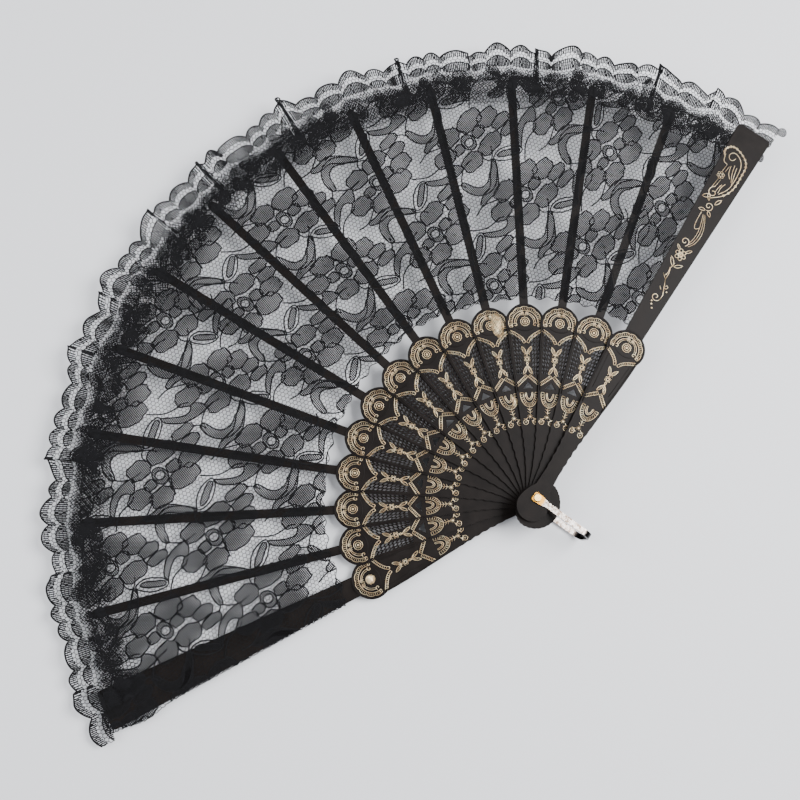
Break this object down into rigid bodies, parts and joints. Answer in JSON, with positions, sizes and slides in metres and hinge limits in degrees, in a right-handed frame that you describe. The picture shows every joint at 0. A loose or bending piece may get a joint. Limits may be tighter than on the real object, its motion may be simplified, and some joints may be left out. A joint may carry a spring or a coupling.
{
  "type": "hand fan",
  "caption": "Open folding hand fan: slim openwork sticks and two wide guards turning on one rivet, a ribbed lace leaf with a gathered scalloped edge, and a bail loop.",
  "frame": {"origin": "on the rivet's axis, in the flat face of its rear head", "axes": "+Z along the rivet towards the front of the fan, +Y along the middle of the open leaf, +X towards the front guard's side"},
  "size_m": [0.4636, 0.2723, 0.0218],
  "materials": {
    "black_plastic": "satin black moulding",
    "lace": "black machine-made lace",
    "gold_foil": "pale gold hot-stamped foil",
    "rivet_metal": "brass",
    "bail_metal": "polished, pale"
  },
  "bodies": {
    "root": {"rear_guard": "black_plastic", "rivet_pin": "rivet_metal", "rivet_burr": "rivet_metal", "lace_end_strip": "lace", "lace_panel_01": "lace", "lace_ruffle_01": "lace"},
    "stick_01": {"stick_01": "black_plastic", "lace_panel_02": "lace", "lace_ruffle_02": "lace"},
    "stick_02": {"stick_02": "black_plastic", "lace_panel_03": "lace", "lace_ruffle_03": "lace"},
    "stick_03": {"stick_03": "black_plastic", "lace_panel_04": "lace", "lace_ruffle_04": "lace"},
    "stick_04": {"stick_04": "black_plastic", "lace_panel_05": "lace", "lace_ruffle_05": "lace"},
    "stick_05": {"stick_05": "black_plastic", "lace_panel_06": "lace", "lace_ruffle_06": "lace"},
    "stick_06": {"stick_06": "black_plastic", "lace_panel_07": "lace", "lace_ruffle_07": "lace"},
    "stick_07": {"stick_07": "black_plastic", "lace_panel_08": "lace", "lace_ruffle_08": "lace"},
    "stick_08": {"stick_08": "black_plastic", "lace_panel_09": "lace", "lace_ruffle_09": "lace"},
    "stick_09": {"stick_09": "black_plastic", "lace_panel_10": "lace", "lace_ruffle_10": "lace"},
    "stick_10": {"stick_10": "black_plastic", "lace_panel_11": "lace", "lace_ruffle_11": "lace"},
    "stick_11": {"stick_11": "black_plastic", "lace_panel_12": "lace", "lace_ruffle_12": "lace"},
    "stick_12": {"stick_12": "black_plastic", "lace_panel_13": "lace", "lace_ruffle_13": "lace"},
    "front_guard": {"front_guard": "black_plastic"},
    "bail": {"bail": "bail_metal"}
  },
  "joints": [
    {"name": "fold_01", "type": "hinge", "parent": "root", "child": "stick_01", "pos_m": [0, 0, 0.01], "axis": [0, 0, 1], "range_deg": [0, 11.4], "deforming": ["lace_panel_01", "lace_ruffle_01"]},
    {"name": "fold_02", "type": "hinge", "parent": "stick_01", "child": "stick_02", "pos_m": [0, 0, 0.01], "axis": [0, 0, 1], "range_deg": [-1, 12.4], "deforming": ["lace_panel_02", "lace_ruffle_02"]},
    {"name": "fold_03", "type": "hinge", "parent": "stick_02", "child": "stick_03", "pos_m": [0, 0, 0.01], "axis": [0, 0, 1], "range_deg": [-1, 12.4], "deforming": ["lace_panel_03", "lace_ruffle_03"]},
    {"name": "fold_04", "type": "hinge", "parent": "stick_03", "child": "stick_04", "pos_m": [0, 0, 0.01], "axis": [0, 0, 1], "range_deg": [-1, 12.4], "deforming": ["lace_panel_04", "lace_ruffle_04"]},
    {"name": "fold_05", "type": "hinge", "parent": "stick_04", "child": "stick_05", "pos_m": [0, 0, 0.01], "axis": [0, 0, 1], "range_deg": [-1, 12.4], "deforming": ["lace_panel_05", "lace_ruffle_05"]},
    {"name": "fold_06", "type": "hinge", "parent": "stick_05", "child": "stick_06", "pos_m": [0, 0, 0.01], "axis": [0, 0, 1], "range_deg": [-1, 12.4], "deforming": ["lace_panel_06", "lace_ruffle_06"]},
    {"name": "fold_07", "type": "hinge", "parent": "stick_06", "child": "stick_07", "pos_m": [0, 0, 0.01], "axis": [0, 0, 1], "range_deg": [-1, 12.4], "deforming": ["lace_panel_07", "lace_ruffle_07"]},
    {"name": "fold_08", "type": "hinge", "parent": "stick_07", "child": "stick_08", "pos_m": [0, 0, 0.01], "axis": [0, 0, 1], "range_deg": [-1, 12.4], "deforming": ["lace_panel_08", "lace_ruffle_08"]},
    {"name": "fold_09", "type": "hinge", "parent": "stick_08", "child": "stick_09", "pos_m": [0, 0, 0.01], "axis": [0, 0, 1], "range_deg": [-1, 12.4], "deforming": ["lace_panel_09", "lace_ruffle_09"]},
    {"name": "fold_10", "type": "hinge", "parent": "stick_09", "child": "stick_10", "pos_m": [0, 0, 0.01], "axis": [0, 0, 1], "range_deg": [-1, 12.4], "deforming": ["lace_panel_10", "lace_ruffle_10"]},
    {"name": "fold_11", "type": "hinge", "parent": "stick_10", "child": "stick_11", "pos_m": [0, 0, 0.01], "axis": [0, 0, 1], "range_deg": [-1, 12.4], "deforming": ["lace_panel_11", "lace_ruffle_11"]},
    {"name": "fold_12", "type": "hinge", "parent": "stick_11", "child": "stick_12", "pos_m": [0, 0, 0.01], "axis": [0, 0, 1], "range_deg": [-1, 12.4], "deforming": ["lace_panel_12", "lace_ruffle_12"]},
    {"name": "fold_13", "type": "hinge", "parent": "stick_12", "child": "front_guard", "pos_m": [0, 0, 0.01], "axis": [0, 0, 1], "range_deg": [-1, 12.4], "deforming": ["lace_panel_13", "lace_ruffle_13"]},
    {"name": "bail_swing", "type": "hinge", "parent": "root", "child": "bail", "pos_m": [0, 0, 0.01], "axis": [0, 0, 1], "range_deg": [-95, 78]}
  ],
  "couplings": [
    {"joint": "fold_02", "follows": "fold_01", "ratio": 1},
    {"joint": "fold_03", "follows": "fold_01", "ratio": 1},
    {"joint": "fold_04", "follows": "fold_01", "ratio": 1},
    {"joint": "fold_05", "follows": "fold_01", "ratio": 1},
    {"joint": "fold_06", "follows": "fold_01", "ratio": 1},
    {"joint": "fold_07", "follows": "fold_01", "ratio": 1},
    {"joint": "fold_08", "follows": "fold_01", "ratio": 1},
    {"joint": "fold_09", "follows": "fold_01", "ratio": 1},
    {"joint": "fold_10", "follows": "fold_01", "ratio": 1},
    {"joint": "fold_11", "follows": "fold_01", "ratio": 1},
    {"joint": "fold_12", "follows": "fold_01", "ratio": 1},
    {"joint": "fold_13", "follows": "fold_01", "ratio": 1}
  ]
}
